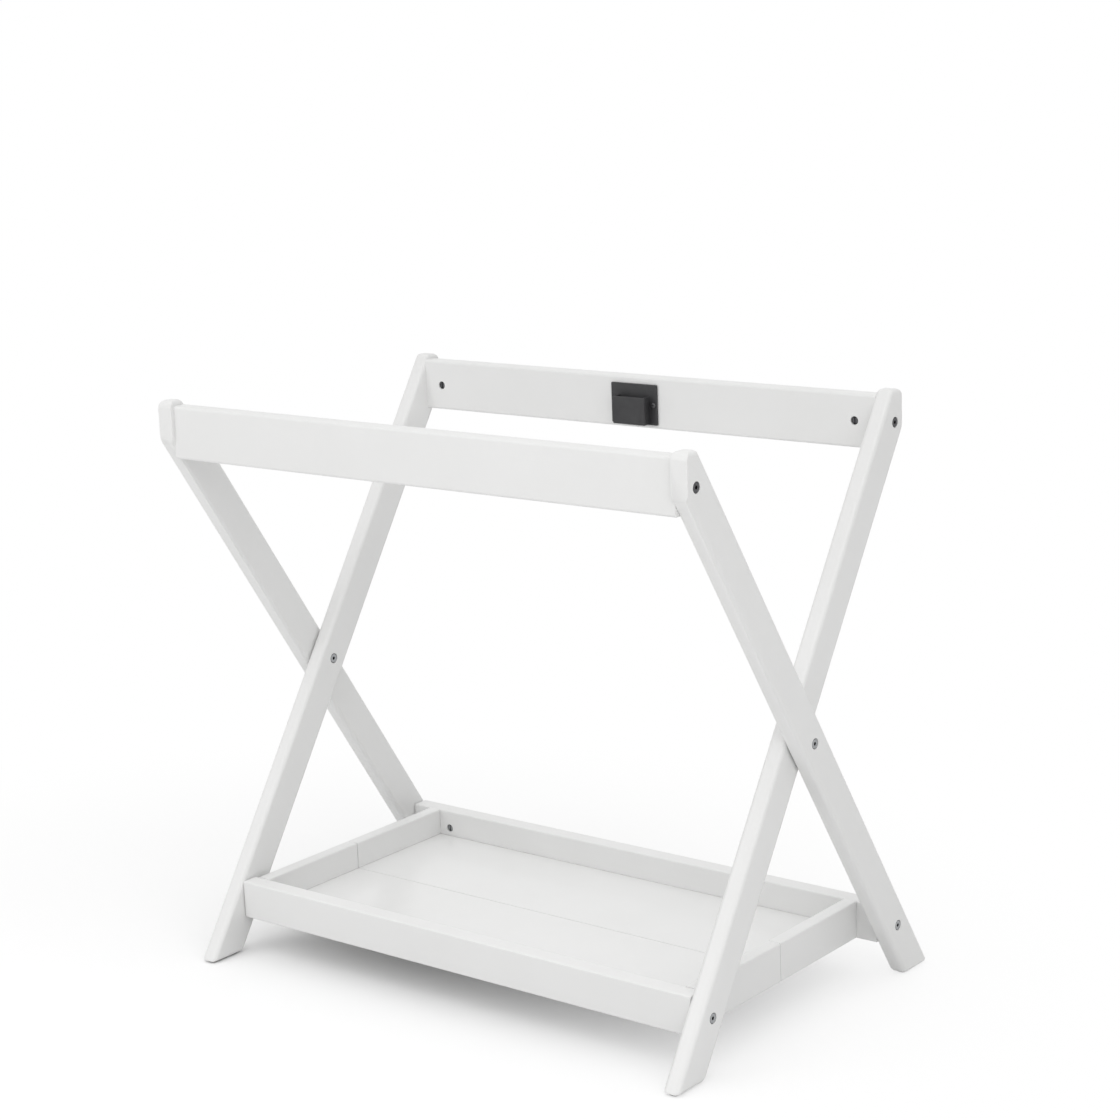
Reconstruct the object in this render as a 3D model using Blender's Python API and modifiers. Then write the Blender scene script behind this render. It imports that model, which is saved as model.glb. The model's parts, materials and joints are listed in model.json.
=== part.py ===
"""Folding X-frame stand for a carrycot, in painted wood, with a tray that folds at its middle.

Metres, +Z up. X runs along the rails and -Y is the front. The origin is on the floor under the
middle of the stand, which is modelled standing open. The outer legs lean from the front rail to the
rear foot, and the inner legs from the rear rail to the front foot.
"""
import math

import bmesh
import bpy
from mathutils import Matrix, Vector

# Fits
FIT = 0.0003                    # gap between pieces that touch
TURN_GAP = 0.0015               # gap between crossing legs, which holds a washer
TRAY_GAP = 0.001                # gap between a leg and the end of the tray board that turns on it

# Legs
LENGTH = 0.800                  # over the outer faces of the outer legs
PIVOT_Z = 0.3485                # height of the crossing
LEG_ANGLE = math.radians(33.0)  # lean of a leg from upright
LEG_T = 0.0225                  # thickness along X
LEG_W = 0.047                   # width across the leg
LEG_EDGE = 0.006                # rounding of the long edges
LEG_ABOVE_RAIL = 0.0065         # how far a leg stands above its rail
LEG_PROUD = 0.0045              # how far its upright face stands outside the rail
LEG_CROWN = 0.010               # radius of its top's outer corner
LEG_BACK = 0.0075               # radius of its top's inner corner
FOOT_EDGE = 0.005               # rounding round the foot
GLIDE_T = 0.0012                # pad under the foot
GLIDE_INSET = 0.0055
GLIDE_CORNER = 0.004

# Top rails
RAIL_Z = 0.6862                 # middle of the rail, where its bolts are
RAIL_T = 0.0225
RAIL_H = 0.066
RAIL_EDGE = 0.0035
RAIL_OUTSET = 0.003             # bolt outside the centre line of the leg
END_EDGE = 0.001                # rounding of the ends that meet a leg

# Tray
TRAY_Z = 0.0708                 # middle of the boards, where their bolts are
TRAY_OUTSET = 0.0006            # bolt outside the centre line of the leg
BOARD_T = 0.023
BOARD_H = 0.0485
BOARD_TOP_EDGE = 0.002
BOARD_LOW_EDGE = 0.002
BOARD_END_EDGE = 0.0015
SIDE_T = 0.018                  # side boards
SIDE_INSET = 0.006              # side board inside the inner leg
SPLIT_GAP = 0.0008              # between the two halves of the tray
SPLIT_EDGE = 0.0012
PANEL_T = 0.010
GROOVE = 0.005                  # depth of the groove that holds the panel

# Bolts, cross nuts and dowels
BOLT_R = 0.003
HEAD_R = 0.006
HEAD_T = 0.0026
HEAD_CHAMFER = 0.0005
HEAD_GAP = 0.0006               # round the head, in its counterbore
KEY_R = 0.0023                  # hexagon key socket, centre to corner
KEY_DEPTH = 0.0022
TIP = 0.003                     # of a bolt past its cross nut
SLEEVE_R = 0.0045               # sleeve nut of the leg pivot
SLEEVE_SHORT = 0.0015           # sleeve ends this far below the counterbore
SLEEVE_FLOOR = 0.006            # solid end of the sleeve nut
SLEEVE_ROOM = 0.0017            # from the bolt's tip to that solid end
NUT_R = 0.005
NUT_L = 0.017
NUT_SINK = 0.0012
NUT_SLOT = 0.0012
RAIL_NUT_IN = 0.027             # nut from the end of its rail
TRAY_NUT_IN = 0.017             # nut from the inner face of the side board
WASHER_R = 0.010
DOWEL_R = 0.004
DOWEL_L = 0.030
DOWEL_IN_LEG = 0.011
DOWEL_RISE = 0.019              # of the dowel above a rail bolt
CORNER_DOWEL_DROP = 0.0105      # below the top of the tray boards
DOWEL_IN_BOARD = 0.010

# Long hinge under the seam of the tray
HINGE_L = 0.600
KNUCKLES = 25
KNUCKLE_R = 0.0033
LEAF_T = 0.0013
LEAF_W = 0.022
LEAF_BACK = 0.0007              # clearance of a leaf round the other's knuckles
PIN_R = 0.0015
SCREW_COUNT = 5                 # countersunk holes in each leaf
SCREW_PITCH = 0.135
SCREW_R = 0.0015
SCREW_HEAD_R = 0.0030
SCREW_L = 0.0075
SCREW_TO_EDGE = 0.007

# Sockets for the carrycot, on the inner faces of the rails
PLATE_W = 0.072
PLATE_H = 0.052
PLATE_T = 0.003
PLATE_EDGE = 0.0012
PLATE_DROP = 0.002              # middle of the plate below the middle of the rail
SOCKET_W = 0.050
SOCKET_H = 0.0355
SOCKET_OUT = 0.016              # from the rail's face
SOCKET_WALL = 0.003
SOCKET_SIDE = 0.004
SOCKET_FLOOR = 0.004
SOCKET_LOW = 0.001              # socket's foot above the plate's foot
PAN_R = 0.0038
PAN_T = 0.002
PAN_SHANK_R = 0.0017
PAN_L = 0.013
PAN_INSET = 0.0052              # from the plate's side

# Facets of round pieces
ROUND = 20
SMALL_ROUND = 12
HALF_FACET = math.pi / ROUND
CROWN_STEPS = 5

# Places that follow
OUTER_X = LENGTH / 2                              # outer leg: outer face
OUTER_IN_X = OUTER_X - LEG_T                      # outer leg: inner face
INNER_X = OUTER_IN_X - TURN_GAP                   # inner leg: outer face
INNER_IN_X = INNER_X - LEG_T                      # inner leg: inner face
LEG_TOP = RAIL_Z + RAIL_H / 2 + LEG_ABOVE_RAIL
LEG_FOOT = GLIDE_T + FIT
LEG_HALF_Y = LEG_W / 2 / math.cos(LEG_ANGLE)      # half the leg, cut level
RAIL_Y = (RAIL_Z - PIVOT_Z) * math.tan(LEG_ANGLE) + RAIL_OUTSET
RAIL_FACE_Y = RAIL_Y - RAIL_T / 2                 # inner face of a rail
TRAY_Y = (PIVOT_Z - TRAY_Z) * math.tan(LEG_ANGLE) + TRAY_OUTSET
BOARD_FACE_Y = TRAY_Y - BOARD_T / 2               # inner face of a tray board
BOARD_LOW = TRAY_Z - BOARD_H / 2
BOARD_TOP = TRAY_Z + BOARD_H / 2
SIDE_X = INNER_IN_X - SIDE_INSET                  # side board: outer face
SIDE_IN_X = SIDE_X - SIDE_T
HINGE_Z = BOARD_LOW - FIT
PANEL_LOW = HINGE_Z + KNUCKLE_R + FIT
COUNTERBORE = HEAD_T + 2 * FIT
HOLE_R = BOLT_R + FIT
PLATE_Z = RAIL_Z - PLATE_DROP
SOCKET_Z = PLATE_Z - PLATE_H / 2 + SOCKET_LOW

HANDS = ((-1, "left"), (1, "right"))
FRONT, REAR = -1, 1


# Scene and collections

def clear_scene():
    for item in list(bpy.data.objects):
        bpy.data.objects.remove(item, do_unlink=True)


def new_collection(name):
    collection = bpy.data.collections.new(name)
    bpy.context.scene.collection.children.link(collection)
    return collection


clear_scene()
STAND = new_collection("carrycot_stand")
CUTTERS = new_collection("cutters")


def material(name, colour, roughness, metallic=0.0):
    mat = bpy.data.materials.new(name)
    mat.use_nodes = True
    shader = mat.node_tree.nodes["Principled BSDF"]
    shader.inputs["Base Color"].default_value = (*colour, 1.0)
    shader.inputs["Roughness"].default_value = roughness
    shader.inputs["Metallic"].default_value = metallic
    return mat


PAINT = material("white_satin_paint", (0.86, 0.86, 0.85), 0.38)
BARE_WOOD = material("beech", (0.62, 0.45, 0.28), 0.65)
ZINC = material("zinc_plate", (0.52, 0.53, 0.54), 0.35, 1.0)
BLACK_STEEL = material("blackened_steel", (0.05, 0.05, 0.055), 0.42, 1.0)
NYLON = material("black_nylon", (0.03, 0.03, 0.033), 0.5)
WASHER_NYLON = material("white_nylon", (0.75, 0.75, 0.73), 0.5)
GLIDE_PAD = material("grey_glide", (0.30, 0.30, 0.30), 0.8)


def empty(name, location, parent=None):
    """An unseen handle on a joint's axis, which carries the pieces that turn with it."""
    handle = bpy.data.objects.new(name, None)
    handle.empty_display_size = 0.03
    STAND.objects.link(handle)
    handle.location = location
    if parent:
        handle.parent = parent
        handle.location = Vector(location) - parent.matrix_world.translation
    bpy.context.view_layer.update()
    return handle


OUTER_FRAME = empty("outer_frame", (0, 0, PIVOT_Z))
INNER_FRAME = empty("inner_frame", (0, 0, PIVOT_Z), OUTER_FRAME)
TRAY_FRONT = empty("tray_front_half", (0, -TRAY_Y, TRAY_Z), INNER_FRAME)
TRAY_REAR = empty("tray_rear_half", (0, 0, HINGE_Z), TRAY_FRONT)


# Shapes: each adds closed bodies to a bmesh, in the coordinates of the stand

def aim(start, direction):
    """Matrix that lays a body made along +X at start, pointing along direction."""
    turn = Vector((1, 0, 0)).rotation_difference(Vector(direction)).to_matrix().to_4x4()
    return Matrix.Translation(start) @ turn


def cube(bm, low, high):
    low, high = Vector(low), Vector(high)
    size = Matrix.Diagonal((*(high - low), 1))
    place = Matrix.Translation((low + high) / 2) @ size
    return bmesh.ops.create_cube(bm, size=1, matrix=place)["verts"]


def round_edges(bm, chosen, radius, segments):
    bmesh.ops.bevel(bm, geom=chosen, offset=radius, offset_type="OFFSET", segments=segments,
                    profile=0.5, affect="EDGES", clamp_overlap=True)


def edges_along(bm, axis):
    """Edges that run along X, Y or Z (0, 1 or 2)."""
    found = []
    for edge in bm.edges:
        run = (edge.verts[1].co - edge.verts[0].co).normalized()
        if abs(run[axis]) > 0.999:
            found.append(edge)
    return found


def edges_at(bm, axis, value):
    """Edges that lie in the plane where the axis has this value."""
    return [edge for edge in bm.edges
            if all(abs(vert.co[axis] - value) < 1e-6 for vert in edge.verts)]


def turned(bm, profile, start, direction, segments=ROUND, ring=False, spin=0.0):
    """A turned body. Its profile is (distance along the axis, radius), from end to end.

    A spin about the axis keeps its facet edges off those of a bore that crosses it.
    """
    points = [(along, radius, 0) for along, radius in profile]
    count = len(points)
    pairs = [(i, (i + 1) % count) for i in range(count if ring else count - 1)]
    mesh = bpy.data.meshes.new("profile")
    mesh.from_pydata(points, pairs, [])
    blank = bpy.data.objects.new("profile", mesh)
    CUTTERS.objects.link(blank)
    screw = blank.modifiers.new("turn", "SCREW")
    screw.axis = "X"
    screw.steps = segments
    screw.render_steps = segments
    screw.use_merge_vertices = True
    screw.merge_threshold = 0.000001
    depsgraph = bpy.context.evaluated_depsgraph_get()
    body = bpy.data.meshes.new_from_object(blank.evaluated_get(depsgraph))
    bpy.data.objects.remove(blank)
    solid = bmesh.new()
    solid.from_mesh(body)
    bmesh.ops.remove_doubles(solid, verts=solid.verts, dist=0.000001)
    bmesh.ops.recalc_face_normals(solid, faces=solid.faces)
    solid.transform(aim(start, direction) @ Matrix.Rotation(spin, 4, "X"))
    solid.to_mesh(body)
    solid.free()
    bm.from_mesh(body)
    bpy.data.meshes.remove(body)
    bpy.data.meshes.remove(mesh)


def rod(bm, start, direction, length, radius, segments=ROUND, chamfer=0.0, spin=0.0):
    """A plain round rod, with chamfered ends where a chamfer is given."""
    if chamfer:
        profile = [(0, 0), (0, radius - chamfer), (chamfer, radius), (length - chamfer, radius),
                   (length, radius - chamfer), (length, 0)]
    else:
        profile = [(0, 0), (0, radius), (length, radius), (length, 0)]
    turned(bm, profile, start, direction, segments, spin=spin)


def rounded_outline(corners):
    """Points of a flat outline. A corner is (y, z, radius, steps), and its arc has that many steps."""
    points = []
    for index, (y, z, radius, steps) in enumerate(corners):
        corner = Vector((y, z))
        if not radius:
            points.append(corner)
            continue
        before = (Vector(corners[index - 1][:2]) - corner).normalized()
        after = (Vector(corners[(index + 1) % len(corners)][:2]) - corner).normalized()
        half = before.angle(after) / 2
        middle = corner + (before + after).normalized() * radius / math.sin(half)
        first = corner + before * radius / math.tan(half) - middle
        last = corner + after * radius / math.tan(half) - middle
        sweep = math.atan2(first.x * last.y - first.y * last.x, first.dot(last))
        for step in range(steps + 1):
            points.append(middle + Matrix.Rotation(sweep * step / steps, 2) @ first)
    return points


def hexagon(bm, start, direction, radius, depth):
    place = aim(Vector(start) + Vector(direction) * depth / 2, direction)
    upright = Matrix.Rotation(math.pi / 2, 4, "Y")
    bmesh.ops.create_cone(bm, cap_ends=True, segments=6, radius1=radius, radius2=radius,
                          depth=depth, matrix=place @ upright)


def extruded(bm, outline, low_x, high_x):
    """A flat outline of (y, z) points, extruded along X."""
    ring = [bm.verts.new((low_x, y, z)) for y, z in outline]
    face = bm.faces.new(ring)
    grown = bmesh.ops.extrude_face_region(bm, geom=[face])["geom"]
    far = [item for item in grown if isinstance(item, bmesh.types.BMVert)]
    bmesh.ops.translate(bm, verts=far, vec=(high_x - low_x, 0, 0))
    bmesh.ops.recalc_face_normals(bm, faces=bm.faces)


# Objects

def finish(bm, name, collection, location):
    """The bmesh as an object whose own origin is at location."""
    bm.transform(Matrix.Translation(-Vector(location)))
    mesh = bpy.data.meshes.new(name)
    bm.to_mesh(mesh)
    bm.free()
    item = bpy.data.objects.new(name, mesh)
    collection.objects.link(item)
    item.location = location
    return item


def piece(bm, name, mat, parent, origin=(0, 0, 0)):
    item = finish(bm, name, STAND, origin)
    item.parent = parent
    item.location = Vector(origin) - parent.matrix_world.translation
    item.data.materials.append(mat)
    item.data.shade_smooth()
    item.data.set_sharp_from_angle(angle=math.radians(30))
    return item


def cutter(bm, name):
    """A tool for Booleans. It may hold several closed bodies."""
    item = finish(bm, name, CUTTERS, (0, 0, 0))
    item.hide_render = True
    item.display_type = "WIRE"
    return item


def boolean(items, tool, operation="DIFFERENCE"):
    for item in items:
        modifier = item.modifiers.new(tool.name, "BOOLEAN")
        modifier.operation = operation
        modifier.object = tool
        modifier.solver = "EXACT"


# Legs, each turning about its own origin on the line of the pivot bolts

def leg_line(z):
    """Distance of a leg's centre line from the middle of the stand, outward at the rail."""
    return (z - PIVOT_Z) * math.tan(LEG_ANGLE)


def leg(name, parent, lean, low_x, high_x):
    """A leg with rounded edges, whose top is cut upright just outside the front or the rear rail."""
    foot_y, top_y = leg_line(LEG_FOOT), leg_line(LEG_TOP)
    corners = [(foot_y - LEG_HALF_Y, LEG_FOOT, 0, 0), (foot_y + LEG_HALF_Y, LEG_FOOT, 0, 0),
               (top_y + LEG_HALF_Y, LEG_TOP, 0, 0), (top_y - LEG_HALF_Y, LEG_TOP, LEG_BACK, 3)]
    bm = bmesh.new()
    extruded(bm, [(lean * y, z) for y, z in rounded_outline(corners)], low_x, high_x)
    foot = edges_at(bm, 2, LEG_FOOT)
    rims = edges_at(bm, 0, low_x) + edges_at(bm, 0, high_x)
    round_edges(bm, [edge for edge in rims if edge not in foot], LEG_EDGE, 3)
    round_edges(bm, edges_at(bm, 2, LEG_FOOT), FOOT_EDGE, 2)
    blank = piece(bm, name, PAINT, parent, (0, 0, PIVOT_Z))

    upright_y = RAIL_Y + RAIL_T / 2 + LEG_PROUD
    crown_y, beyond_y = upright_y - LEG_CROWN, top_y + 2 * LEG_HALF_Y
    waste = [(upright_y, RAIL_Z - RAIL_H)]
    for step in range(CROWN_STEPS + 1):
        angle = math.pi / 2 * step / CROWN_STEPS
        waste.append((crown_y + LEG_CROWN * math.cos(angle), LEG_TOP - LEG_CROWN * (1 - math.sin(angle))))
    waste += [(crown_y, LEG_TOP + LEG_W), (beyond_y, LEG_TOP + LEG_W), (beyond_y, RAIL_Z - RAIL_H)]
    bm = bmesh.new()
    extruded(bm, [(lean * y, z) for y, z in waste], low_x - LEG_T, high_x + LEG_T)
    boolean([blank], cutter(bm, name + "_waste"))
    return blank


def glide(name, parent, lean, near_x, far_x):
    """A thin pad under a foot, inset from the foot's edges."""
    middle = lean * leg_line(LEG_FOOT)
    reach = LEG_HALF_Y - GLIDE_INSET
    low_x, high_x = sorted((near_x, far_x))
    bm = bmesh.new()
    cube(bm, (low_x + GLIDE_INSET, middle - reach, 0), (high_x - GLIDE_INSET, middle + reach, GLIDE_T))
    round_edges(bm, edges_along(bm, 2), GLIDE_CORNER, 3)
    return piece(bm, name, GLIDE_PAD, parent, ((low_x + high_x) / 2, middle, 0))


def leg_pair(word, parent, lean, face_x):
    """Left and right leg whose outer faces are at face_x, each on its glide."""
    pair = []
    for side, hand in HANDS:
        near_x, far_x = side * (face_x - LEG_T), side * face_x
        pair.append(leg(f"{word}_leg_{hand}", parent, lean, min(near_x, far_x), max(near_x, far_x)))
        glide(f"{word}_foot_glide_{hand}", parent, lean, near_x, far_x)
    return pair


# Rails and tray boards

def bar(name, parent, low, high, top_edge, low_edge, end_edge):
    """A board along X with rounded top and bottom edges and eased ends."""
    bm = bmesh.new()
    cube(bm, low, high)
    long_edges = edges_along(bm, 0)
    tops = [edge for edge in long_edges if edge.verts[0].co.z > (low[2] + high[2]) / 2]
    lows = [edge for edge in long_edges if edge not in tops]
    round_edges(bm, tops, top_edge, 3)
    round_edges(bm, lows, low_edge, 3 if low_edge == top_edge else 2)
    for end in (low[0], high[0]):
        round_edges(bm, edges_at(bm, 0, end), end_edge, 2)
    origin = [(a + b) / 2 for a, b in zip(low, high)]
    return piece(bm, name, PAINT, parent, origin)


def rail(name, parent, end, half_length):
    middle = end * RAIL_Y
    low = (-half_length, middle - RAIL_T / 2, RAIL_Z - RAIL_H / 2)
    high = (half_length, middle + RAIL_T / 2, RAIL_Z + RAIL_H / 2)
    return bar(name, parent, low, high, RAIL_EDGE, RAIL_EDGE, END_EDGE)


def tray_board(name, parent, end, half_length):
    middle = end * TRAY_Y
    low = (-half_length, middle - BOARD_T / 2, BOARD_LOW)
    high = (half_length, middle + BOARD_T / 2, BOARD_TOP)
    return bar(name, parent, low, high, BOARD_TOP_EDGE, BOARD_LOW_EDGE, BOARD_END_EDGE)


def side_board(name, parent, end, side):
    """Half of a side board, from its tray board to the split in the middle."""
    low_x, high_x = sorted((side * SIDE_IN_X, side * SIDE_X))
    split = end * SPLIT_GAP / 2
    butt = end * (BOARD_FACE_Y - FIT)
    bm = bmesh.new()
    cube(bm, (low_x, min(split, butt), BOARD_LOW), (high_x, max(split, butt), BOARD_TOP))
    runs = edges_along(bm, 1)
    tops = [edge for edge in runs if edge.verts[0].co.z > TRAY_Z]
    lows = [edge for edge in runs if edge not in tops]
    round_edges(bm, tops, BOARD_TOP_EDGE, 3)
    round_edges(bm, lows, BOARD_LOW_EDGE, 2)
    round_edges(bm, edges_at(bm, 1, split), SPLIT_EDGE, 2)
    return piece(bm, name, PAINT, parent, (side * (SIDE_X - SIDE_T / 2), butt, TRAY_Z))


def panel_box(end, margin):
    """Corners of half the tray floor. A margin makes it the cutter of its own groove."""
    reach = SIDE_IN_X + GROOVE - FIT + margin
    split = end * (SPLIT_GAP / 2 - margin)
    back = end * (BOARD_FACE_Y + GROOVE - FIT + margin)
    low = (-reach, min(split, back), PANEL_LOW - margin)
    high = (reach, max(split, back), PANEL_LOW + PANEL_T + margin)
    return low, high


def panel(name, parent, end):
    bm = bmesh.new()
    cube(bm, *panel_box(end, 0))
    return piece(bm, name, PAINT, parent, (0, end * BOARD_FACE_Y, PANEL_LOW))


# Fasteners, made in left and right pairs

def key_sockets(name, items, face_x, y, z, inward):
    """Hexagon sockets in the heads of a left and a right bolt."""
    bm = bmesh.new()
    for side, _ in HANDS:
        bottom = (side * (face_x - inward * (FIT + KEY_DEPTH)), y, z)
        hexagon(bm, bottom, (side * inward, 0, 0), KEY_R, 2 * KEY_DEPTH)
    boolean(items, cutter(bm, name))


def bolts(name, parent, mat, face_x, tip_x, y, z):
    """Bolts whose heads are sunk in the outer faces of the legs, at face_x."""
    start_x = face_x - FIT
    length = start_x - tip_x
    profile = [(0, 0), (0, HEAD_R - HEAD_CHAMFER), (HEAD_CHAMFER, HEAD_R), (HEAD_T, HEAD_R),
               (HEAD_T, BOLT_R), (length - HEAD_CHAMFER, BOLT_R), (length, BOLT_R - HEAD_CHAMFER),
               (length, 0)]
    pair = []
    for side, hand in HANDS:
        bm = bmesh.new()
        turned(bm, profile, (side * start_x, y, z), (-side, 0, 0))
        pair.append(piece(bm, f"{name}_{hand}", mat, parent, (side * start_x, y, z)))
    key_sockets(name + "_keys", pair, face_x, y, z, 1)


def bolt_holes(name, items, face_x, tip_x, y, z):
    """Counterbore and clearance hole for a pair of bolts."""
    wide = HEAD_R + HEAD_GAP
    length = face_x - tip_x + FIT
    profile = [(-COUNTERBORE, 0), (-COUNTERBORE, wide), (COUNTERBORE, wide), (COUNTERBORE, HOLE_R),
               (length, HOLE_R), (length, 0)]
    bm = bmesh.new()
    for side, _ in HANDS:
        turned(bm, profile, (side * face_x, y, z), (-side, 0, 0))
    boolean(items, cutter(bm, name))


def barrel_nuts(name, parent, mat, board, end, x, face_y, z):
    """Cross nuts in holes from the board's inner face, each with a screwdriver slot."""
    start_y = end * (face_y + NUT_SINK)
    slots = bmesh.new()
    holes = bmesh.new()
    pair = []
    for side, hand in HANDS:
        bm = bmesh.new()
        rod(bm, (side * x, start_y, z), (0, end, 0), NUT_L, NUT_R, chamfer=HEAD_CHAMFER, spin=HALF_FACET)
        pair.append(piece(bm, f"{name}_{hand}", mat, parent, (side * x, start_y, z)))
        reach = Vector((NUT_SLOT / 2, NUT_SLOT, 2 * NUT_R))
        middle = Vector((side * x, start_y, z))
        cube(slots, middle - reach, middle + reach)
        mouth = (side * x, end * (face_y - NUT_R), z)
        rod(holes, mouth, (0, end, 0), NUT_R + NUT_SINK + NUT_L + FIT, NUT_R + FIT, spin=HALF_FACET)
    boolean(pair, cutter(slots, name + "_slots"))
    boolean([board], cutter(holes, name + "_holes"))
    return pair


def dowels(name, parent, items, places, direction):
    """Wooden dowels, and their holes. A place is where a dowel starts, and the sign of its direction."""
    aimed = Vector(direction)
    holes = bmesh.new()
    for (start, sign), (_, hand) in zip(places, HANDS):
        bm = bmesh.new()
        rod(bm, start, aimed * sign, DOWEL_L, DOWEL_R, SMALL_ROUND, HEAD_CHAMFER)
        piece(bm, f"{name}_{hand}", BARE_WOOD, parent, start)
        mouth = Vector(start) - aimed * sign * FIT
        rod(holes, mouth, aimed * sign, DOWEL_L + 2 * FIT, DOWEL_R + FIT, SMALL_ROUND)
    boolean(items, cutter(holes, name + "_holes"))


# Leg pivots: a sleeve nut from the inside and a bolt from the outside

def sleeve_nuts():
    length = OUTER_X - COUNTERBORE - SLEEVE_SHORT - INNER_IN_X - FIT
    profile = [(0, 0), (0, HEAD_R - HEAD_CHAMFER), (HEAD_CHAMFER, HEAD_R), (HEAD_T, HEAD_R),
               (HEAD_T, SLEEVE_R), (length, SLEEVE_R), (length, HOLE_R), (SLEEVE_FLOOR, HOLE_R),
               (SLEEVE_FLOOR, 0)]
    pair = []
    for side, hand in HANDS:
        start = (side * (INNER_IN_X + FIT), 0, PIVOT_Z)
        bm = bmesh.new()
        turned(bm, profile, start, (side, 0, 0))
        pair.append(piece(bm, f"pivot_sleeve_nut_{hand}", ZINC, OUTER_FRAME, start))
    key_sockets("pivot_sleeve_nut_keys", pair, INNER_IN_X, 0, PIVOT_Z, -1)


def pivot_holes(legs):
    wide = HEAD_R + HEAD_GAP
    stack = OUTER_X - INNER_IN_X
    bore = SLEEVE_R + FIT
    profile = [(-COUNTERBORE, 0), (-COUNTERBORE, wide), (COUNTERBORE, wide), (COUNTERBORE, bore),
               (stack - COUNTERBORE, bore), (stack - COUNTERBORE, wide), (stack + COUNTERBORE, wide),
               (stack + COUNTERBORE, 0)]
    bm = bmesh.new()
    for side, _ in HANDS:
        turned(bm, profile, (side * INNER_IN_X, 0, PIVOT_Z), (side, 0, 0))
    boolean(legs, cutter(bm, "pivot_holes"))


def pivot_washers():
    """Rings that fill the gap between the crossing legs."""
    hole = SLEEVE_R + 2 * FIT
    thick = TURN_GAP - 2 * FIT
    profile = [(0, hole), (0, WASHER_R), (thick, WASHER_R), (thick, hole)]
    for side, hand in HANDS:
        start = (side * (INNER_X + FIT), 0, PIVOT_Z)
        bm = bmesh.new()
        turned(bm, profile, start, (side, 0, 0), ring=True)
        piece(bm, f"pivot_washer_{hand}", WASHER_NYLON, OUTER_FRAME, start)


# Rails on their legs

def rail_set(end, word, parent, legs, face_x):
    """A rail between a pair of legs whose outer faces are at face_x, with what fastens it."""
    leg_face = face_x - LEG_T
    beam = rail(word + "_rail", parent, end, leg_face - FIT)
    nut_x = leg_face - FIT - RAIL_NUT_IN
    tip_x = nut_x - NUT_R - TIP
    middle = end * RAIL_Y
    nuts = barrel_nuts(word + "_rail_barrel_nut", parent, BLACK_STEEL, beam, end, nut_x, RAIL_FACE_Y, RAIL_Z)
    bolts(word + "_rail_bolt", parent, BLACK_STEEL, face_x, tip_x, middle, RAIL_Z)
    bolt_holes(word + "_rail_bolt_holes", legs + [beam] + nuts, face_x, tip_x, middle, RAIL_Z)
    places = [((side * (leg_face + DOWEL_IN_LEG), middle, RAIL_Z + DOWEL_RISE), -side) for side, _ in HANDS]
    dowels(word + "_rail_dowel", parent, legs + [beam], places, (1, 0, 0))
    return beam


# Tray halves, each with its board, side boards and floor panel

def tray_half(end, word, parent, board_end):
    board = tray_board(word + "_tray_board", parent, end, board_end)
    boards = [board]
    for side, hand in HANDS:
        boards.append(side_board(f"{word}_side_board_{hand}", parent, end, side))
    floor = panel(word + "_tray_panel", parent, end)
    groove = bmesh.new()
    cube(groove, *panel_box(end, FIT))
    boolean(boards, cutter(groove, word + "_panel_groove"))
    start_y = end * (BOARD_FACE_Y + DOWEL_IN_BOARD)
    middle_x = SIDE_X - SIDE_T / 2
    places = [((side * middle_x, start_y, BOARD_TOP - CORNER_DOWEL_DROP), -end) for side, _ in HANDS]
    dowels(word + "_corner_dowel", parent, boards, places, (0, 1, 0))
    return board, floor


def front_tray_bolts(board, legs):
    """The front board hangs on two bolts through the inner legs."""
    nut_x = SIDE_IN_X - TRAY_NUT_IN
    tip_x = nut_x - NUT_R - TIP
    nuts = barrel_nuts("front_tray_barrel_nut", TRAY_FRONT, ZINC, board, FRONT, nut_x, BOARD_FACE_Y, TRAY_Z)
    bolts("front_tray_bolt", TRAY_FRONT, ZINC, INNER_X, tip_x, -TRAY_Y, TRAY_Z)
    bolt_holes("front_tray_bolt_holes", legs + [board] + nuts, INNER_X, tip_x, -TRAY_Y, TRAY_Z)


def rear_tray_bolts(board, legs):
    """The rear board hangs on two bolts through the outer legs, parted at the ends of the board."""
    nut_x = SIDE_IN_X - TRAY_NUT_IN
    tip_x = nut_x - NUT_R - TIP
    parting_x = OUTER_IN_X - TRAY_GAP
    nuts = barrel_nuts("rear_tray_barrel_nut", TRAY_REAR, ZINC, board, REAR, nut_x, BOARD_FACE_Y, TRAY_Z)
    bolts("rear_tray_bolt_head", OUTER_FRAME, ZINC, OUTER_X, parting_x + FIT / 2, TRAY_Y, TRAY_Z)
    start_x = parting_x - FIT / 2
    for side, hand in HANDS:
        start = (side * start_x, TRAY_Y, TRAY_Z)
        bm = bmesh.new()
        rod(bm, start, (-side, 0, 0), start_x - tip_x, BOLT_R, chamfer=HEAD_CHAMFER)
        piece(bm, f"rear_tray_bolt_shank_{hand}", ZINC, TRAY_REAR, start)
    bolt_holes("rear_tray_bolt_holes", legs + [board] + nuts, OUTER_X, tip_x, TRAY_Y, TRAY_Z)


# Long hinge under the seam, with its pin on the fold line

def leaf_outline(end):
    """Section of a leaf: a flat plate whose top runs on round the knuckle."""
    arc_steps = 8
    leaf_low = KNUCKLE_R - LEAF_T
    meet = math.asin(leaf_low / KNUCKLE_R)
    outline = [(LEAF_W, leaf_low), (LEAF_W, KNUCKLE_R)]
    for step in range(arc_steps + 1):
        angle = math.pi / 2 + (3 * math.pi / 2 + meet) * step / arc_steps
        outline.append((KNUCKLE_R * math.cos(angle), KNUCKLE_R * math.sin(angle)))
    return [(end * y, HINGE_Z + z) for y, z in outline]


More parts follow.
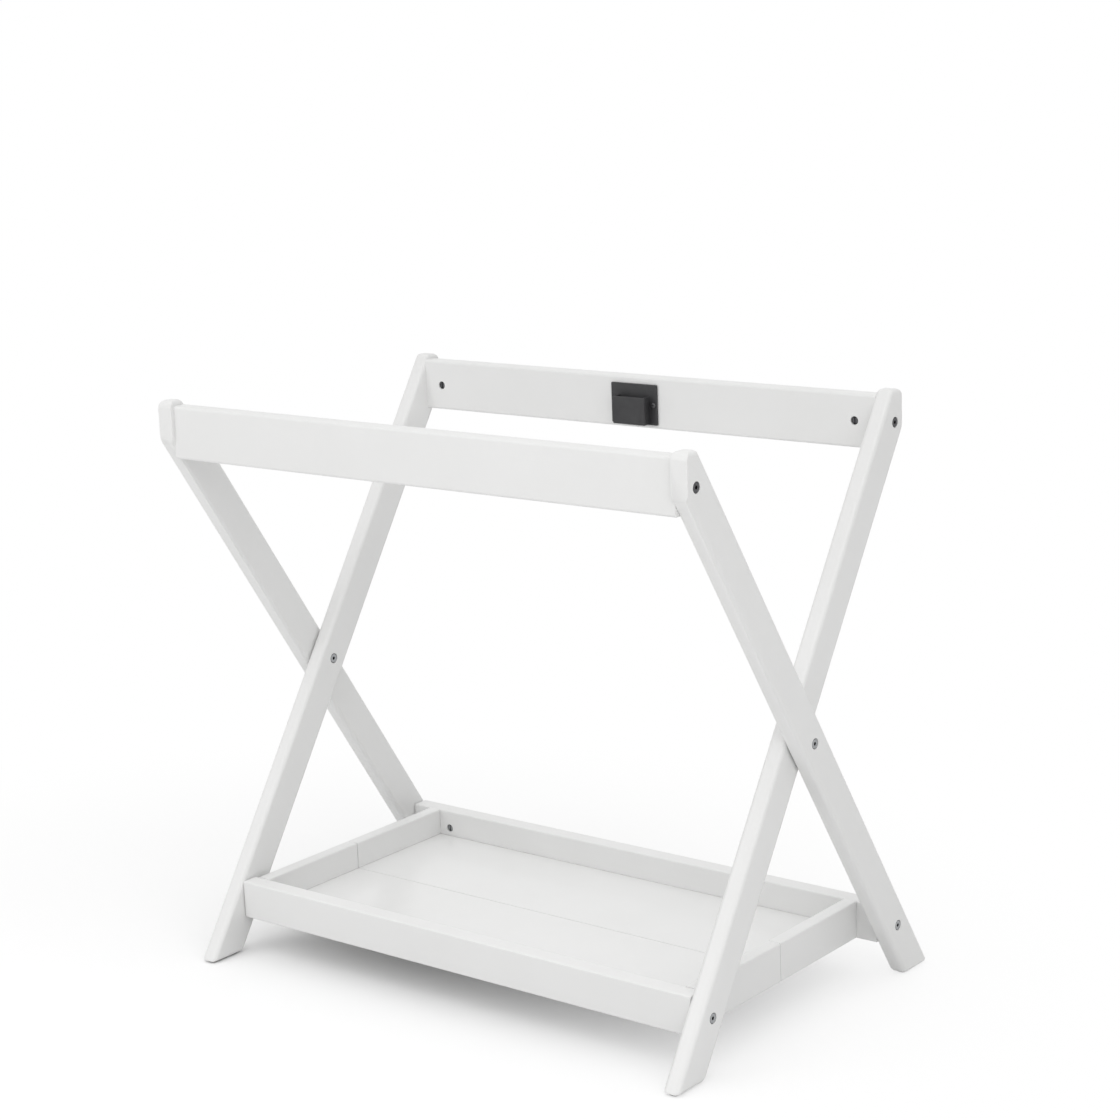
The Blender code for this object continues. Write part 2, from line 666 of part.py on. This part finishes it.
def knuckle_room(name, first):
    """Cutter that frees the other leaf's knuckles, every second one from first."""
    pitch = HINGE_L / KNUCKLES
    reach = KNUCKLE_R + LEAF_BACK
    bm = bmesh.new()
    for index in range(first, KNUCKLES, 2):
        low_x = -HINGE_L / 2 + index * pitch
        cube(bm, (low_x - FIT, -reach, HINGE_Z - reach), (low_x + pitch + FIT, reach, HINGE_Z + reach))
    return cutter(bm, name)


def screw_holes(name, end):
    """Countersunk holes through a leaf, and pilot holes up into the panel."""
    leaf_low = HINGE_Z + KNUCKLE_R - LEAF_T
    sink = SCREW_HEAD_R - SCREW_R
    profile = [(-sink, 0), (-sink, SCREW_HEAD_R), (0, SCREW_HEAD_R), (sink, SCREW_R), (SCREW_L, SCREW_R),
               (SCREW_L, 0)]
    bm = bmesh.new()
    for index in range(SCREW_COUNT):
        x = (index - (SCREW_COUNT - 1) / 2) * SCREW_PITCH
        turned(bm, profile, (x, end * (LEAF_W - SCREW_TO_EDGE), leaf_low), (0, 0, 1), SMALL_ROUND)
    return cutter(bm, name)


def hinge_half(end, word, parent, floor, first_knuckle):
    bm = bmesh.new()
    extruded(bm, leaf_outline(end), -HINGE_L / 2, HINGE_L / 2)
    leaf = piece(bm, word + "_hinge_leaf", ZINC, parent, (0, 0, HINGE_Z))
    boolean([leaf], knuckle_room(word + "_knuckle_room", 1 - first_knuckle))
    bore = bmesh.new()
    rod(bore, (-HINGE_L, 0, HINGE_Z), (1, 0, 0), 2 * HINGE_L, PIN_R + FIT, SMALL_ROUND)
    boolean([leaf], cutter(bore, word + "_pin_bore"))
    boolean([leaf, floor], screw_holes(word + "_hinge_screw_holes", end))


def hinge_pin():
    bm = bmesh.new()
    rod(bm, (-HINGE_L / 2, 0, HINGE_Z), (1, 0, 0), HINGE_L, PIN_R, SMALL_ROUND)
    piece(bm, "hinge_pin", ZINC, TRAY_FRONT, (0, 0, HINGE_Z))


# Sockets that the carrycot drops into, screwed to the rails

def rounded_box(low, high, radius):
    bm = bmesh.new()
    cube(bm, low, high)
    round_edges(bm, bm.edges[:], radius, 2)
    return bm


def across(end, near, far):
    """Low and high Y of a slice between two distances from the rail's inner face."""
    return sorted((end * (RAIL_FACE_Y - near), end * (RAIL_FACE_Y - far)))


def carrycot_socket(end, word, parent, beam):
    """A plate on the rail with a pocket in front of it, open at the top."""
    low_y, high_y = across(end, FIT, FIT + PLATE_T)
    low_z, high_z = PLATE_Z - PLATE_H / 2, PLATE_Z + PLATE_H / 2
    plate = rounded_box((-PLATE_W / 2, low_y, low_z), (PLATE_W / 2, high_y, high_z), PLATE_EDGE)
    item = piece(plate, word + "_carrycot_socket", NYLON, parent, (0, end * RAIL_FACE_Y, PLATE_Z))
    low_y, high_y = across(end, FIT + PLATE_T / 2, SOCKET_OUT)
    top_z = SOCKET_Z + SOCKET_H
    body = rounded_box((-SOCKET_W / 2, low_y, SOCKET_Z), (SOCKET_W / 2, high_y, top_z), PLATE_EDGE)
    boolean([item], cutter(body, word + "_socket_body"), "UNION")
    low_y, high_y = across(end, FIT + PLATE_T, SOCKET_OUT - SOCKET_WALL)
    half = SOCKET_W / 2 - SOCKET_SIDE
    pocket = bmesh.new()
    cube(pocket, (-half, low_y, SOCKET_Z + SOCKET_FLOOR), (half, high_y, top_z + SOCKET_FLOOR))
    boolean([item], cutter(pocket, word + "_socket_pocket"))
    socket_screws(word + "_socket_screw", parent, item, beam, end)


def socket_screws(name, parent, socket, beam, end):
    """Pan-head screws at the left and right of the socket's plate."""
    seat_y = end * (RAIL_FACE_Y - PLATE_T - 2 * FIT)
    start_y = seat_y - end * PAN_T
    length = PAN_T + PAN_L
    profile = [(0, 0), (0, PAN_R - PAN_T / 2), (PAN_T / 2, PAN_R), (PAN_T, PAN_R), (PAN_T, PAN_SHANK_R),
               (length - PAN_SHANK_R, PAN_SHANK_R), (length, 0)]
    holes = bmesh.new()
    slots = bmesh.new()
    pair = []
    for side, hand in HANDS:
        x = side * (PLATE_W / 2 - PAN_INSET)
        bm = bmesh.new()
        turned(bm, profile, (x, start_y, PLATE_Z), (0, end, 0), SMALL_ROUND)
        pair.append(piece(bm, f"{name}_{hand}", BLACK_STEEL, parent, (x, start_y, PLATE_Z)))
        mouth = (x, seat_y - end * FIT, PLATE_Z)
        rod(holes, mouth, (0, end, 0), PAN_L + 2 * FIT, PAN_SHANK_R + FIT, SMALL_ROUND)
        reach = Vector((PAN_SHANK_R, PAN_T / 2, FIT))
        cube(slots, Vector((x, start_y, PLATE_Z)) - reach, Vector((x, start_y, PLATE_Z)) + reach)
    boolean([socket, beam], cutter(holes, name + "_holes"))
    boolean(pair, cutter(slots, name + "_slots"))


# The stand

def build_stand():
    outer_legs = leg_pair("outer", OUTER_FRAME, FRONT, OUTER_X)
    inner_legs = leg_pair("inner", INNER_FRAME, REAR, INNER_X)
    pivot_holes(outer_legs + inner_legs)
    sleeve_nuts()
    bolts("pivot_bolt", OUTER_FRAME, ZINC, OUTER_X, INNER_IN_X + SLEEVE_FLOOR + SLEEVE_ROOM, 0, PIVOT_Z)
    pivot_washers()
    front_rail = rail_set(FRONT, "front", OUTER_FRAME, outer_legs, OUTER_X)
    rear_rail = rail_set(REAR, "rear", INNER_FRAME, inner_legs, INNER_X)
    carrycot_socket(FRONT, "front", OUTER_FRAME, front_rail)
    carrycot_socket(REAR, "rear", INNER_FRAME, rear_rail)
    front_board, front_floor = tray_half(FRONT, "front", TRAY_FRONT, INNER_IN_X - TRAY_GAP)
    rear_board, rear_floor = tray_half(REAR, "rear", TRAY_REAR, OUTER_IN_X - TRAY_GAP)
    front_tray_bolts(front_board, inner_legs)
    rear_tray_bolts(rear_board, outer_legs)
    hinge_half(FRONT, "front", TRAY_FRONT, front_floor, 0)
    hinge_half(REAR, "rear", TRAY_REAR, rear_floor, 1)
    hinge_pin()


build_stand()
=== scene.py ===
import json
import math

import bmesh
import bpy
from mathutils import Matrix, Vector

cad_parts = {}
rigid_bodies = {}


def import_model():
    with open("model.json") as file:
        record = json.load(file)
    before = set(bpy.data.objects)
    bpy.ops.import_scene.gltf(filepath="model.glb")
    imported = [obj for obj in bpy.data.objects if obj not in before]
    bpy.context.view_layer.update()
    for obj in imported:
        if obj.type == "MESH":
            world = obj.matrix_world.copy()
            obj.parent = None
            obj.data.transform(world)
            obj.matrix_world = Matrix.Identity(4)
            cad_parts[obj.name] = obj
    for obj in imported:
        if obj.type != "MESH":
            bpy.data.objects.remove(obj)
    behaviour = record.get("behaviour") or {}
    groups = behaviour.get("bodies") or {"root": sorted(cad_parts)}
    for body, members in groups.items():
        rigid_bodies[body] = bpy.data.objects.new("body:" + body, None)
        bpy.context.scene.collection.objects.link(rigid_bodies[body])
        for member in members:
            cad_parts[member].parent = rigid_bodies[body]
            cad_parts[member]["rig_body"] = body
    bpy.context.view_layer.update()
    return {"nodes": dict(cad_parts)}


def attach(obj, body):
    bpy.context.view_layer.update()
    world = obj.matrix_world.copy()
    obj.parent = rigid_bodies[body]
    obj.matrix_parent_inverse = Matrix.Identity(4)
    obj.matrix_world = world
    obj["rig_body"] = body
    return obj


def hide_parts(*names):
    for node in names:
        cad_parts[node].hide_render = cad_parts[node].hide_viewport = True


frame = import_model()

# Sizes that the looks share with the stand, in metres
LEG_LEAN = math.radians(33.0)   # lean of a leg from upright
LEAF_LOW = 0.04825              # underside of the hinge leaves
SCREW_Y = 0.015                 # hinge screws from the seam
SCREW_PITCH = 0.135
SCREW_COUNT = 5


def add(name, data):
    """A new object, linked to the scene."""
    made = bpy.data.objects.new(name, data)
    bpy.context.scene.collection.objects.link(made)
    return made


# Materials. Each pair of tones is the darker and the lighter one of a mottle, in linear colour, and
# each pair of roughnesses is the lowest and the highest. Scales of noise are in cells per metre.

PAINT_TONES = ((0.795, 0.795, 0.788), (0.815, 0.815, 0.810))
PAINT_GRAIN = (5, 170, 170)     # along the grain and across it
PAINT_SPECULAR = 0.42
SATIN = (0.34, 0.46)
GLOSS = (0.17, 0.23)
GLOSS_RELIEF = 0.4              # share of the satin paint's relief

BEECH_TONES = ((0.50, 0.33, 0.19), (0.68, 0.50, 0.32))
BEECH_GRAIN = (30, 900, 900)
BEECH_ROUGH = (0.55, 0.75)

ZINC_TONES = ((0.25, 0.26, 0.27), (0.45, 0.46, 0.47))
ZINC_ROUGH = (0.28, 0.45)
BLACK_TONES = ((0.065, 0.065, 0.07), (0.14, 0.14, 0.145))
BLACK_ROUGH = (0.35, 0.5)
# Painted shade: the steel's colour is darkened down in key sockets and other hollows, where shade falls
PAINTED_SHADE_REACH = 0.005            # how near a wall the painted shade in a hollow reaches
PAINTED_SHADE_OPEN = (0.55, 0.95)      # share of open sky where the painted shade ends and where it starts
PAINTED_SHADE_TONES = ((0.01, 0.01, 0.01), (1, 1, 1))

NYLON_TONES = ((0.022, 0.022, 0.024), (0.034, 0.034, 0.036))
WHITE_NYLON_TONES = ((0.70, 0.70, 0.68), (0.76, 0.76, 0.74))
NYLON_ROUGH = (0.42, 0.6)

FELT_TONES = ((0.20, 0.20, 0.20), (0.42, 0.42, 0.41))
FELT_ROUGH = (0.85, 1.0)
FELT_SHEEN = 0.25


def new_material(name):
    mat = bpy.data.materials.new(name)
    mat.use_nodes = True
    return mat, mat.node_tree, mat.node_tree.nodes["Principled BSDF"]


def mapped(tree, rotation=(0, 0, 0), scale=(1, 1, 1)):
    """Coordinates of the piece at rest, turned and then stretched."""
    place = tree.nodes.new("ShaderNodeTexCoord")
    turn = tree.nodes.new("ShaderNodeMapping")
    turn.inputs["Rotation"].default_value = rotation
    stretch = tree.nodes.new("ShaderNodeMapping")
    stretch.inputs["Scale"].default_value = scale
    tree.links.new(place.outputs["Object"], turn.inputs["Vector"])
    tree.links.new(turn.outputs["Vector"], stretch.inputs["Vector"])
    return stretch.outputs["Vector"]


def noise(tree, vector, scale, detail=2.0, roughness=0.5, distortion=0.0):
    made = tree.nodes.new("ShaderNodeTexNoise")
    made.inputs["Scale"].default_value = scale
    made.inputs["Detail"].default_value = detail
    made.inputs["Roughness"].default_value = roughness
    made.inputs["Distortion"].default_value = distortion
    tree.links.new(vector, made.inputs["Vector"])
    return made.outputs["Fac"]


def spread(tree, value, low, high, from_low=0.3, from_high=0.7):
    """The middle of a noise's range, spread from low to high."""
    made = tree.nodes.new("ShaderNodeMapRange")
    made.inputs["From Min"].default_value = from_low
    made.inputs["From Max"].default_value = from_high
    made.inputs["To Min"].default_value = low
    made.inputs["To Max"].default_value = high
    tree.links.new(value, made.inputs["Value"])
    return made.outputs["Result"]


def mix_colour(tree, factor, tones):
    made = tree.nodes.new("ShaderNodeMix")
    made.data_type = "RGBA"
    made.inputs["A"].default_value = (*tones[0], 1)
    made.inputs["B"].default_value = (*tones[1], 1)
    tree.links.new(factor, made.inputs["Factor"])
    return made.outputs["Result"]


def mottled(tree, value, tones):
    return mix_colour(tree, spread(tree, value, 0, 1), tones)


def bump(tree, height, distance, strength, under=None):
    made = tree.nodes.new("ShaderNodeBump")
    made.inputs["Distance"].default_value = distance
    made.inputs["Strength"].default_value = strength
    tree.links.new(height, made.inputs["Height"])
    if under:
        tree.links.new(under, made.inputs["Normal"])
    return made.outputs["Normal"]


def dress(tree, shader, colour, roughness, normal):
    tree.links.new(colour, shader.inputs["Base Color"])
    tree.links.new(roughness, shader.inputs["Roughness"])
    tree.links.new(normal, shader.inputs["Normal"])


def paint(name, turn, rough=SATIN, relief=1.0):
    """White paint on wood: rolled film over a faint long grain that runs along X once turned."""
    mat, tree, shader = new_material(name)
    shader.inputs["Specular IOR Level"].default_value = PAINT_SPECULAR
    along = mapped(tree, rotation=turn, scale=PAINT_GRAIN)
    even = mapped(tree)
    grain = noise(tree, along, 1.0, detail=5.0, roughness=0.6, distortion=0.4)
    film = noise(tree, even, 650.0)
    wave = noise(tree, even, 45.0)
    tone = noise(tree, even, 7.0, detail=3.0)
    normal = bump(tree, grain, distance=0.00012, strength=0.45 * relief)
    normal = bump(tree, film, distance=0.00005, strength=0.35 * relief, under=normal)
    dress(tree, shader, mottled(tree, tone, PAINT_TONES), spread(tree, wave, *rough), normal)
    return mat


def bare_wood():
    mat, tree, shader = new_material("beech_wood")
    along = mapped(tree, scale=BEECH_GRAIN)
    grain = noise(tree, along, 1.0, detail=6.0, roughness=0.65, distortion=0.6)
    flecks = noise(tree, along, 3.0)
    dress(tree, shader, mottled(tree, grain, BEECH_TONES), spread(tree, flecks, *BEECH_ROUGH),
          bump(tree, grain, distance=0.0002, strength=0.5))
    return mat


def metal(name, tones, rough):
    """Plated or blackened steel, with a fine mottle, and painted shade that darkens its colour down in its
    key sockets.
    """
    mat, tree, shader = new_material(name)
    shader.inputs["Metallic"].default_value = 1.0
    even = mapped(tree)
    mottle = noise(tree, even, 900.0, detail=3.0, roughness=0.6)
    cloud = noise(tree, even, 160.0)
    # painted shade: ambient occlusion darkens the colour in key sockets and other hollows
    sky = tree.nodes.new("ShaderNodeAmbientOcclusion")
    sky.inputs["Distance"].default_value = PAINTED_SHADE_REACH
    painted_hollow_shade = mix_colour(tree, spread(tree, sky.outputs["AO"], 0, 1, *PAINTED_SHADE_OPEN), PAINTED_SHADE_TONES)
    shade = tree.nodes.new("ShaderNodeMix")
    shade.data_type = "RGBA"
    shade.blend_type = "MULTIPLY"
    shade.inputs["Factor"].default_value = 1.0
    tree.links.new(mottled(tree, mottle, tones), shade.inputs["A"])
    tree.links.new(painted_hollow_shade, shade.inputs["B"])
    dress(tree, shader, shade.outputs["Result"], spread(tree, cloud, *rough),
          bump(tree, mottle, distance=0.00003, strength=0.4))
    return mat


def moulded(name, tones):
    """Moulded nylon with a fine sparked grain."""
    mat, tree, shader = new_material(name)
    even = mapped(tree)
    grain = noise(tree, even, 2200.0, roughness=0.6)
    cloud = noise(tree, even, 60.0)
    dress(tree, shader, mottled(tree, cloud, tones), spread(tree, grain, *NYLON_ROUGH),
          bump(tree, grain, distance=0.00006, strength=0.6))
    return mat


def felt():
    mat, tree, shader = new_material("grey_felt")
    shader.inputs["Sheen Weight"].default_value = FELT_SHEEN
    even = mapped(tree)
    fibre = noise(tree, even, 1800.0, detail=5.0, roughness=0.75, distortion=1.5)
    cloud = noise(tree, even, 220.0, detail=3.0)
    dress(tree, shader, mottled(tree, fibre, FELT_TONES), spread(tree, cloud, *FELT_ROUGH),
          bump(tree, fibre, distance=0.0003, strength=0.8))
    return mat


# Turns that lay a piece's length along X. A leg is turned about X until it lies along Y, then about Z
ALONG_X = (0, 0, 0)
ALONG_Y = (0, 0, -math.pi / 2)
ALONG_OUTER_LEG = (math.pi / 2 - LEG_LEAN, 0, -math.pi / 2)
ALONG_INNER_LEG = (math.pi / 2 + LEG_LEAN, 0, -math.pi / 2)

PAINT_X = paint("white_paint_rails", ALONG_X)
PAINT_Y = paint("white_paint_side_boards", ALONG_Y)
PAINT_PANEL = paint("white_gloss_tray_floor", ALONG_X, rough=GLOSS, relief=GLOSS_RELIEF)
PAINT_OUTER = paint("white_paint_outer_legs", ALONG_OUTER_LEG)
PAINT_INNER = paint("white_paint_inner_legs", ALONG_INNER_LEG)
BEECH = bare_wood()
ZINC = metal("zinc_plated_steel", ZINC_TONES, ZINC_ROUGH)
BLACK = metal("blackened_steel_satin", BLACK_TONES, BLACK_ROUGH)
NYLON = moulded("black_nylon_grain", NYLON_TONES)
WHITE_NYLON = moulded("white_nylon_grain", WHITE_NYLON_TONES)
FELT = felt()


def look_of(name):
    if "dowel" in name:
        return BEECH
    if "glide" in name:
        return FELT
    if "washer" in name:
        return WHITE_NYLON
    if "carrycot_socket" in name:
        return NYLON
    if "socket_screw" in name or "rail_bolt" in name or "rail_barrel" in name:
        return BLACK
    if any(word in name for word in ("bolt", "nut", "hinge")):
        return ZINC
    if name.endswith("_panel"):
        return PAINT_PANEL
    if name.startswith("outer_leg"):
        return PAINT_OUTER
    if name.startswith("inner_leg"):
        return PAINT_INNER
    return PAINT_Y if "side_board" in name else PAINT_X


# Pieces: each CAD node again, welded, with smooth rounded edges

WELD = 0.00001
FLAT = math.radians(0.6)        # faces that turn less than this become one
CREASE = math.radians(50)       # an edge that turns more than this stays sharp
RAIL_INTO_LEG = 0.0025          # a rail's ends run this far into the rounded edges of the legs
# Width of the small rounding, for names with the word
EASED = {"carrycot_socket": 0.0006, "hinge_leaf": 0.00025, "bolt": 0.00025, "nut": 0.00025,
         "socket_screw": 0.0002, "washer": 0.0001, "glide": 0.0004, "_leg_": 0.0016}


def fine_copy(name):
    source = frame["nodes"][name]
    mesh = source.data.copy()
    mesh.name = name + "_mesh"
    mesh.materials.clear()
    bm = bmesh.new()
    bm.from_mesh(mesh)
    bmesh.ops.remove_doubles(bm, verts=bm.verts, dist=WELD)
    bmesh.ops.dissolve_limit(bm, angle_limit=FLAT, verts=bm.verts, edges=bm.edges, delimit=set())
    if name.endswith("_rail"):
        reach = max(abs(vert.co.x) for vert in bm.verts) - RAIL_INTO_LEG
        for vert in bm.verts:
            if abs(vert.co.x) > reach:
                vert.co.x += math.copysign(RAIL_INTO_LEG, vert.co.x)
    for face in bm.faces:
        face.smooth = True
    for edge in bm.edges:
        edge.smooth = not edge.is_manifold or edge.calc_face_angle(0) < CREASE
    bm.to_mesh(mesh)
    bm.free()
    if "custom_normal" in mesh.attributes:
        mesh.attributes.remove(mesh.attributes["custom_normal"])
    piece = add(name + "_look", mesh)
    mesh.materials.append(look_of(name))
    for word, width in EASED.items():
        if word in name:
            ease = piece.modifiers.new("eased_edges", "BEVEL")
            ease.width = width
            ease.segments = 2
            ease.limit_method = "ANGLE"
            ease.angle_limit = CREASE
            ease.harden_normals = False
            break
    normals = piece.modifiers.new("even_faces", "WEIGHTED_NORMAL")
    normals.keep_sharp = True
    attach(piece, source["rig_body"])
    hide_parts(name)


for node_name in sorted(frame["nodes"]):
    fine_copy(node_name)


# Countersunk screws of the hinge, which the solids leave as holes

SCREW_SIDES = 32
SCREW_HEAD_R = 0.0029
SCREW_NECK_R = 0.0014
SCREW_SHANK_R = 0.0013
SCREW_TIP_R = 0.0006
SCREW_BREAK = 0.0003            # the head's broken edge
# Height above the underside of the leaf, and radius
SCREW_PROFILE = [(-0.0001, SCREW_HEAD_R - SCREW_BREAK), (0.0001, SCREW_HEAD_R), (0.0014, SCREW_NECK_R),
                 (0.0070, SCREW_SHANK_R), (0.0076, SCREW_TIP_R)]
SCREW_TURN = 0.7                # radians from one screw's cross to the next one's
CROSS = (0.0034, 0.0007, 0.0018)


def screw_places(end):
    """The middle of each screw's head, and how far its cross is turned."""
    for index in range(SCREW_COUNT):
        x = (index - (SCREW_COUNT - 1) / 2) * SCREW_PITCH
        yield (x, end * SCREW_Y, LEAF_LOW), SCREW_TURN * index


def as_mesh(name, bm):
    mesh = bpy.data.meshes.new(name)
    bm.to_mesh(mesh)
    bm.free()
    return mesh


def turned_screws(name, end):
    bm = bmesh.new()
    angles = [2 * math.pi * i / SCREW_SIDES for i in range(SCREW_SIDES)]
    for (x, y, z), _ in screw_places(end):
        rings = [[bm.verts.new((x + radius * math.cos(angle), y + radius * math.sin(angle), z + rise))
                  for angle in angles] for rise, radius in SCREW_PROFILE]
        for low, high in zip(rings, rings[1:]):
            for i in range(SCREW_SIDES):
                after = (i + 1) % SCREW_SIDES
                bm.faces.new((low[i], low[after], high[after], high[i]))
        bm.faces.new(list(reversed(rings[0])))
        bm.faces.new(rings[-1])
    bmesh.ops.recalc_face_normals(bm, faces=bm.faces)
    return as_mesh(name, bm)


def crosses(name, end):
    bm = bmesh.new()
    for middle, turned in screw_places(end):
        for quarter in (0, math.pi / 2):
            place = (Matrix.Translation(middle) @ Matrix.Rotation(turned + quarter, 4, "Z")
                     @ Matrix.Diagonal((*CROSS, 1)))
            bmesh.ops.create_cube(bm, size=1, matrix=place)
    return as_mesh(name, bm)


def hinge_screws(name, body, end):
    """Five small countersunk screws with a cross recess, seen from below."""
    piece = add(name, turned_screws(name, end))
    cut = add(name + "_cross", crosses(name + "_cross", end))
    recess = piece.modifiers.new("recess", "BOOLEAN")
    recess.operation = "DIFFERENCE"
    recess.solver = "EXACT"
    recess.use_self = True
    recess.object = cut
    bpy.context.view_layer.update()
    done = bpy.data.meshes.new_from_object(piece.evaluated_get(bpy.context.evaluated_depsgraph_get()))
    piece.modifiers.clear()
    piece.data = done
    bpy.data.objects.remove(cut)
    done.materials.clear()
    done.materials.append(ZINC)
    done.shade_smooth()
    done.set_sharp_from_angle(angle=CREASE)
    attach(piece, body)


hinge_screws("front_hinge_screws", "tray_front_half", -1)
hinge_screws("rear_hinge_screws", "tray_rear_half", 1)


# Floor and light

WHITE = (1, 1, 1, 1)
FLOOR_LIGHT = (0.80, 0.80, 0.80, 1)     # what the floor throws back onto the stand
FLOOR_SEEN = (0.97, 0.97, 0.97, 1)      # what it looks like
FLOOR_HALF = 14.0
FLOOR_DROP = 0.0002                     # below the feet
PAINTED_GLOW_ORIGIN = (-0.25, -0.25, 0)       # painted white glow grows from this spot, so the shadow stays deepest at the left and front
PAINTED_GLOW_NEAR = 0.106
PAINTED_GLOW_FAR = 1.107                      # beyond this the painted glow makes the floor plain white
ROOM_DARK_Z = -0.1                      # a direction that points this far down gives no light
ROOM_LIGHT = 1.21                       # strength straight above
LAMP_SIDE = 1.5
LAMP_TARGET = Vector((0, 0, 0.35))
LAMPS = [("front_left", Vector((-1.019, -2.185, 1.174)), 11.2),     # place, and power in watts
         ("front_right", Vector((1.106, -1.58, 2.498)), 8.8),
         ("right", Vector((2.088, -1.205, 1.174)), 8.6)]


def by_ray(tree, gathered, seen):
    """One shader for the light that surfaces gather, another for camera, glossy and transmission rays."""
    path = tree.nodes.new("ShaderNodeLightPath")
    first = tree.nodes.new("ShaderNodeMath")
    first.operation = "MAXIMUM"
    second = tree.nodes.new("ShaderNodeMath")
    second.operation = "MAXIMUM"
    tree.links.new(path.outputs["Is Camera Ray"], first.inputs[0])
    tree.links.new(path.outputs["Is Glossy Ray"], first.inputs[1])
    tree.links.new(first.outputs["Value"], second.inputs[0])
    tree.links.new(path.outputs["Is Transmission Ray"], second.inputs[1])
    pick = tree.nodes.new("ShaderNodeMixShader")
    tree.links.new(second.outputs["Value"], pick.inputs["Fac"])
    tree.links.new(gathered, pick.inputs[1])
    tree.links.new(seen, pick.inputs[2])
    return pick.outputs["Shader"]


def floor():
    """Pale floor that keeps the shadow near the stand and runs out to white, through a painted white glow
    that also lightens the shadow towards the right and back.
    """
    mat = bpy.data.materials.new("studio_floor")
    mat.use_nodes = True
    tree = mat.node_tree
    tree.nodes.clear()
    out = tree.nodes.new("ShaderNodeOutputMaterial")
    plain = tree.nodes.new("ShaderNodeBsdfDiffuse")
    plain.inputs["Color"].default_value = FLOOR_LIGHT
    pale = tree.nodes.new("ShaderNodeBsdfDiffuse")
    pale.inputs["Color"].default_value = FLOOR_SEEN
    # painted light: the floor glows white by its distance from a spot at the front left, lightening its
    # cast shadow more the farther it lies from there
    white = tree.nodes.new("ShaderNodeEmission")
    white.inputs["Color"].default_value = WHITE
    white.inputs["Strength"].default_value = 1.0
    place = tree.nodes.new("ShaderNodeTexCoord")
    far = tree.nodes.new("ShaderNodeVectorMath")
    far.operation = "DISTANCE"
    far.inputs[1].default_value = PAINTED_GLOW_ORIGIN
    painted_glow = tree.nodes.new("ShaderNodeMapRange")
    painted_glow.interpolation_type = "SMOOTHSTEP"
    painted_glow.inputs["From Min"].default_value = PAINTED_GLOW_NEAR
    painted_glow.inputs["From Max"].default_value = PAINTED_GLOW_FAR
    tree.links.new(place.outputs["Object"], far.inputs[0])
    tree.links.new(far.outputs["Value"], painted_glow.inputs["Value"])
    near = tree.nodes.new("ShaderNodeMixShader")
    tree.links.new(painted_glow.outputs["Result"], near.inputs["Fac"])
    tree.links.new(pale.outputs["BSDF"], near.inputs[1])
    tree.links.new(white.outputs["Emission"], near.inputs[2])
    tree.links.new(by_ray(tree, plain.outputs["BSDF"], near.outputs["Shader"]), out.inputs["Surface"])
    half = FLOOR_HALF
    mesh = bpy.data.meshes.new("floor")
    mesh.from_pydata([(-half, -half, 0), (half, -half, 0), (half, half, 0), (-half, half, 0)], [],
                     [(0, 1, 2, 3)])
    mesh.materials.append(mat)
    plane = add("floor", mesh)
    plane.location.z = -FLOOR_DROP


def studio():
    """Even light from a pale room, brighter from above. It looks plain white itself."""
    world = bpy.data.worlds.new("studio")
    bpy.context.scene.world = world
    world.use_nodes = True
    tree = world.node_tree
    tree.nodes.clear()
    out = tree.nodes.new("ShaderNodeOutputWorld")
    place = tree.nodes.new("ShaderNodeTexCoord")
    split = tree.nodes.new("ShaderNodeSeparateXYZ")
    tree.links.new(place.outputs["Generated"], split.inputs["Vector"])
    room = tree.nodes.new("ShaderNodeBackground")
    room.inputs["Color"].default_value = WHITE
    tree.links.new(spread(tree, split.outputs["Z"], 0, ROOM_LIGHT, ROOM_DARK_Z, 1), room.inputs["Strength"])
    white = tree.nodes.new("ShaderNodeBackground")
    white.inputs["Color"].default_value = WHITE
    white.inputs["Strength"].default_value = 1.0
    tree.links.new(by_ray(tree, room.outputs["Background"], white.outputs["Background"]),
                   out.inputs["Surface"])


def softbox(name, place, power):
    data = bpy.data.lights.new(name, "AREA")
    data.shape = "RECTANGLE"
    data.size = LAMP_SIDE
    data.size_y = LAMP_SIDE
    data.energy = power
    lamp = add(name, data)
    lamp.location = place
    lamp.rotation_euler = (LAMP_TARGET - place).to_track_quat("-Z", "Y").to_euler()


floor()
studio()
for lamp_name, lamp_place, lamp_power in LAMPS:
    softbox(lamp_name, lamp_place, lamp_power)


# Camera, at the place that the edges of the stand in the photograph give

AZIMUTH = 0.673259              # radians
ELEVATION = 0.218461
ROLL = -0.036228
DISTANCE = 3.854501
TARGET = Vector((-0.430579, 0.584882, 0.358607))
FOCAL_PIXELS = 2534.724
PHOTO_PIXELS = 1120
SENSOR = 36.0                   # millimetres

back = Vector((math.sin(AZIMUTH) * math.cos(ELEVATION), -math.cos(AZIMUTH) * math.cos(ELEVATION),
               math.sin(ELEVATION)))
right = Vector((math.cos(AZIMUTH), math.sin(AZIMUTH), 0))
up = back.cross(right)
turned_right = math.cos(ROLL) * right + math.sin(ROLL) * up
turned_up = -math.sin(ROLL) * right + math.cos(ROLL) * up
camera_data = bpy.data.cameras.new("camera")
camera_data.sensor_width = SENSOR
camera_data.lens = FOCAL_PIXELS / PHOTO_PIXELS * SENSOR
camera = add("camera", camera_data)
pose = Matrix((turned_right, turned_up, back)).transposed().to_4x4()
camera.matrix_world = Matrix.Translation(TARGET + back * DISTANCE) @ pose
bpy.context.scene.camera = camera
bpy.context.scene.view_settings.view_transform = "Standard"
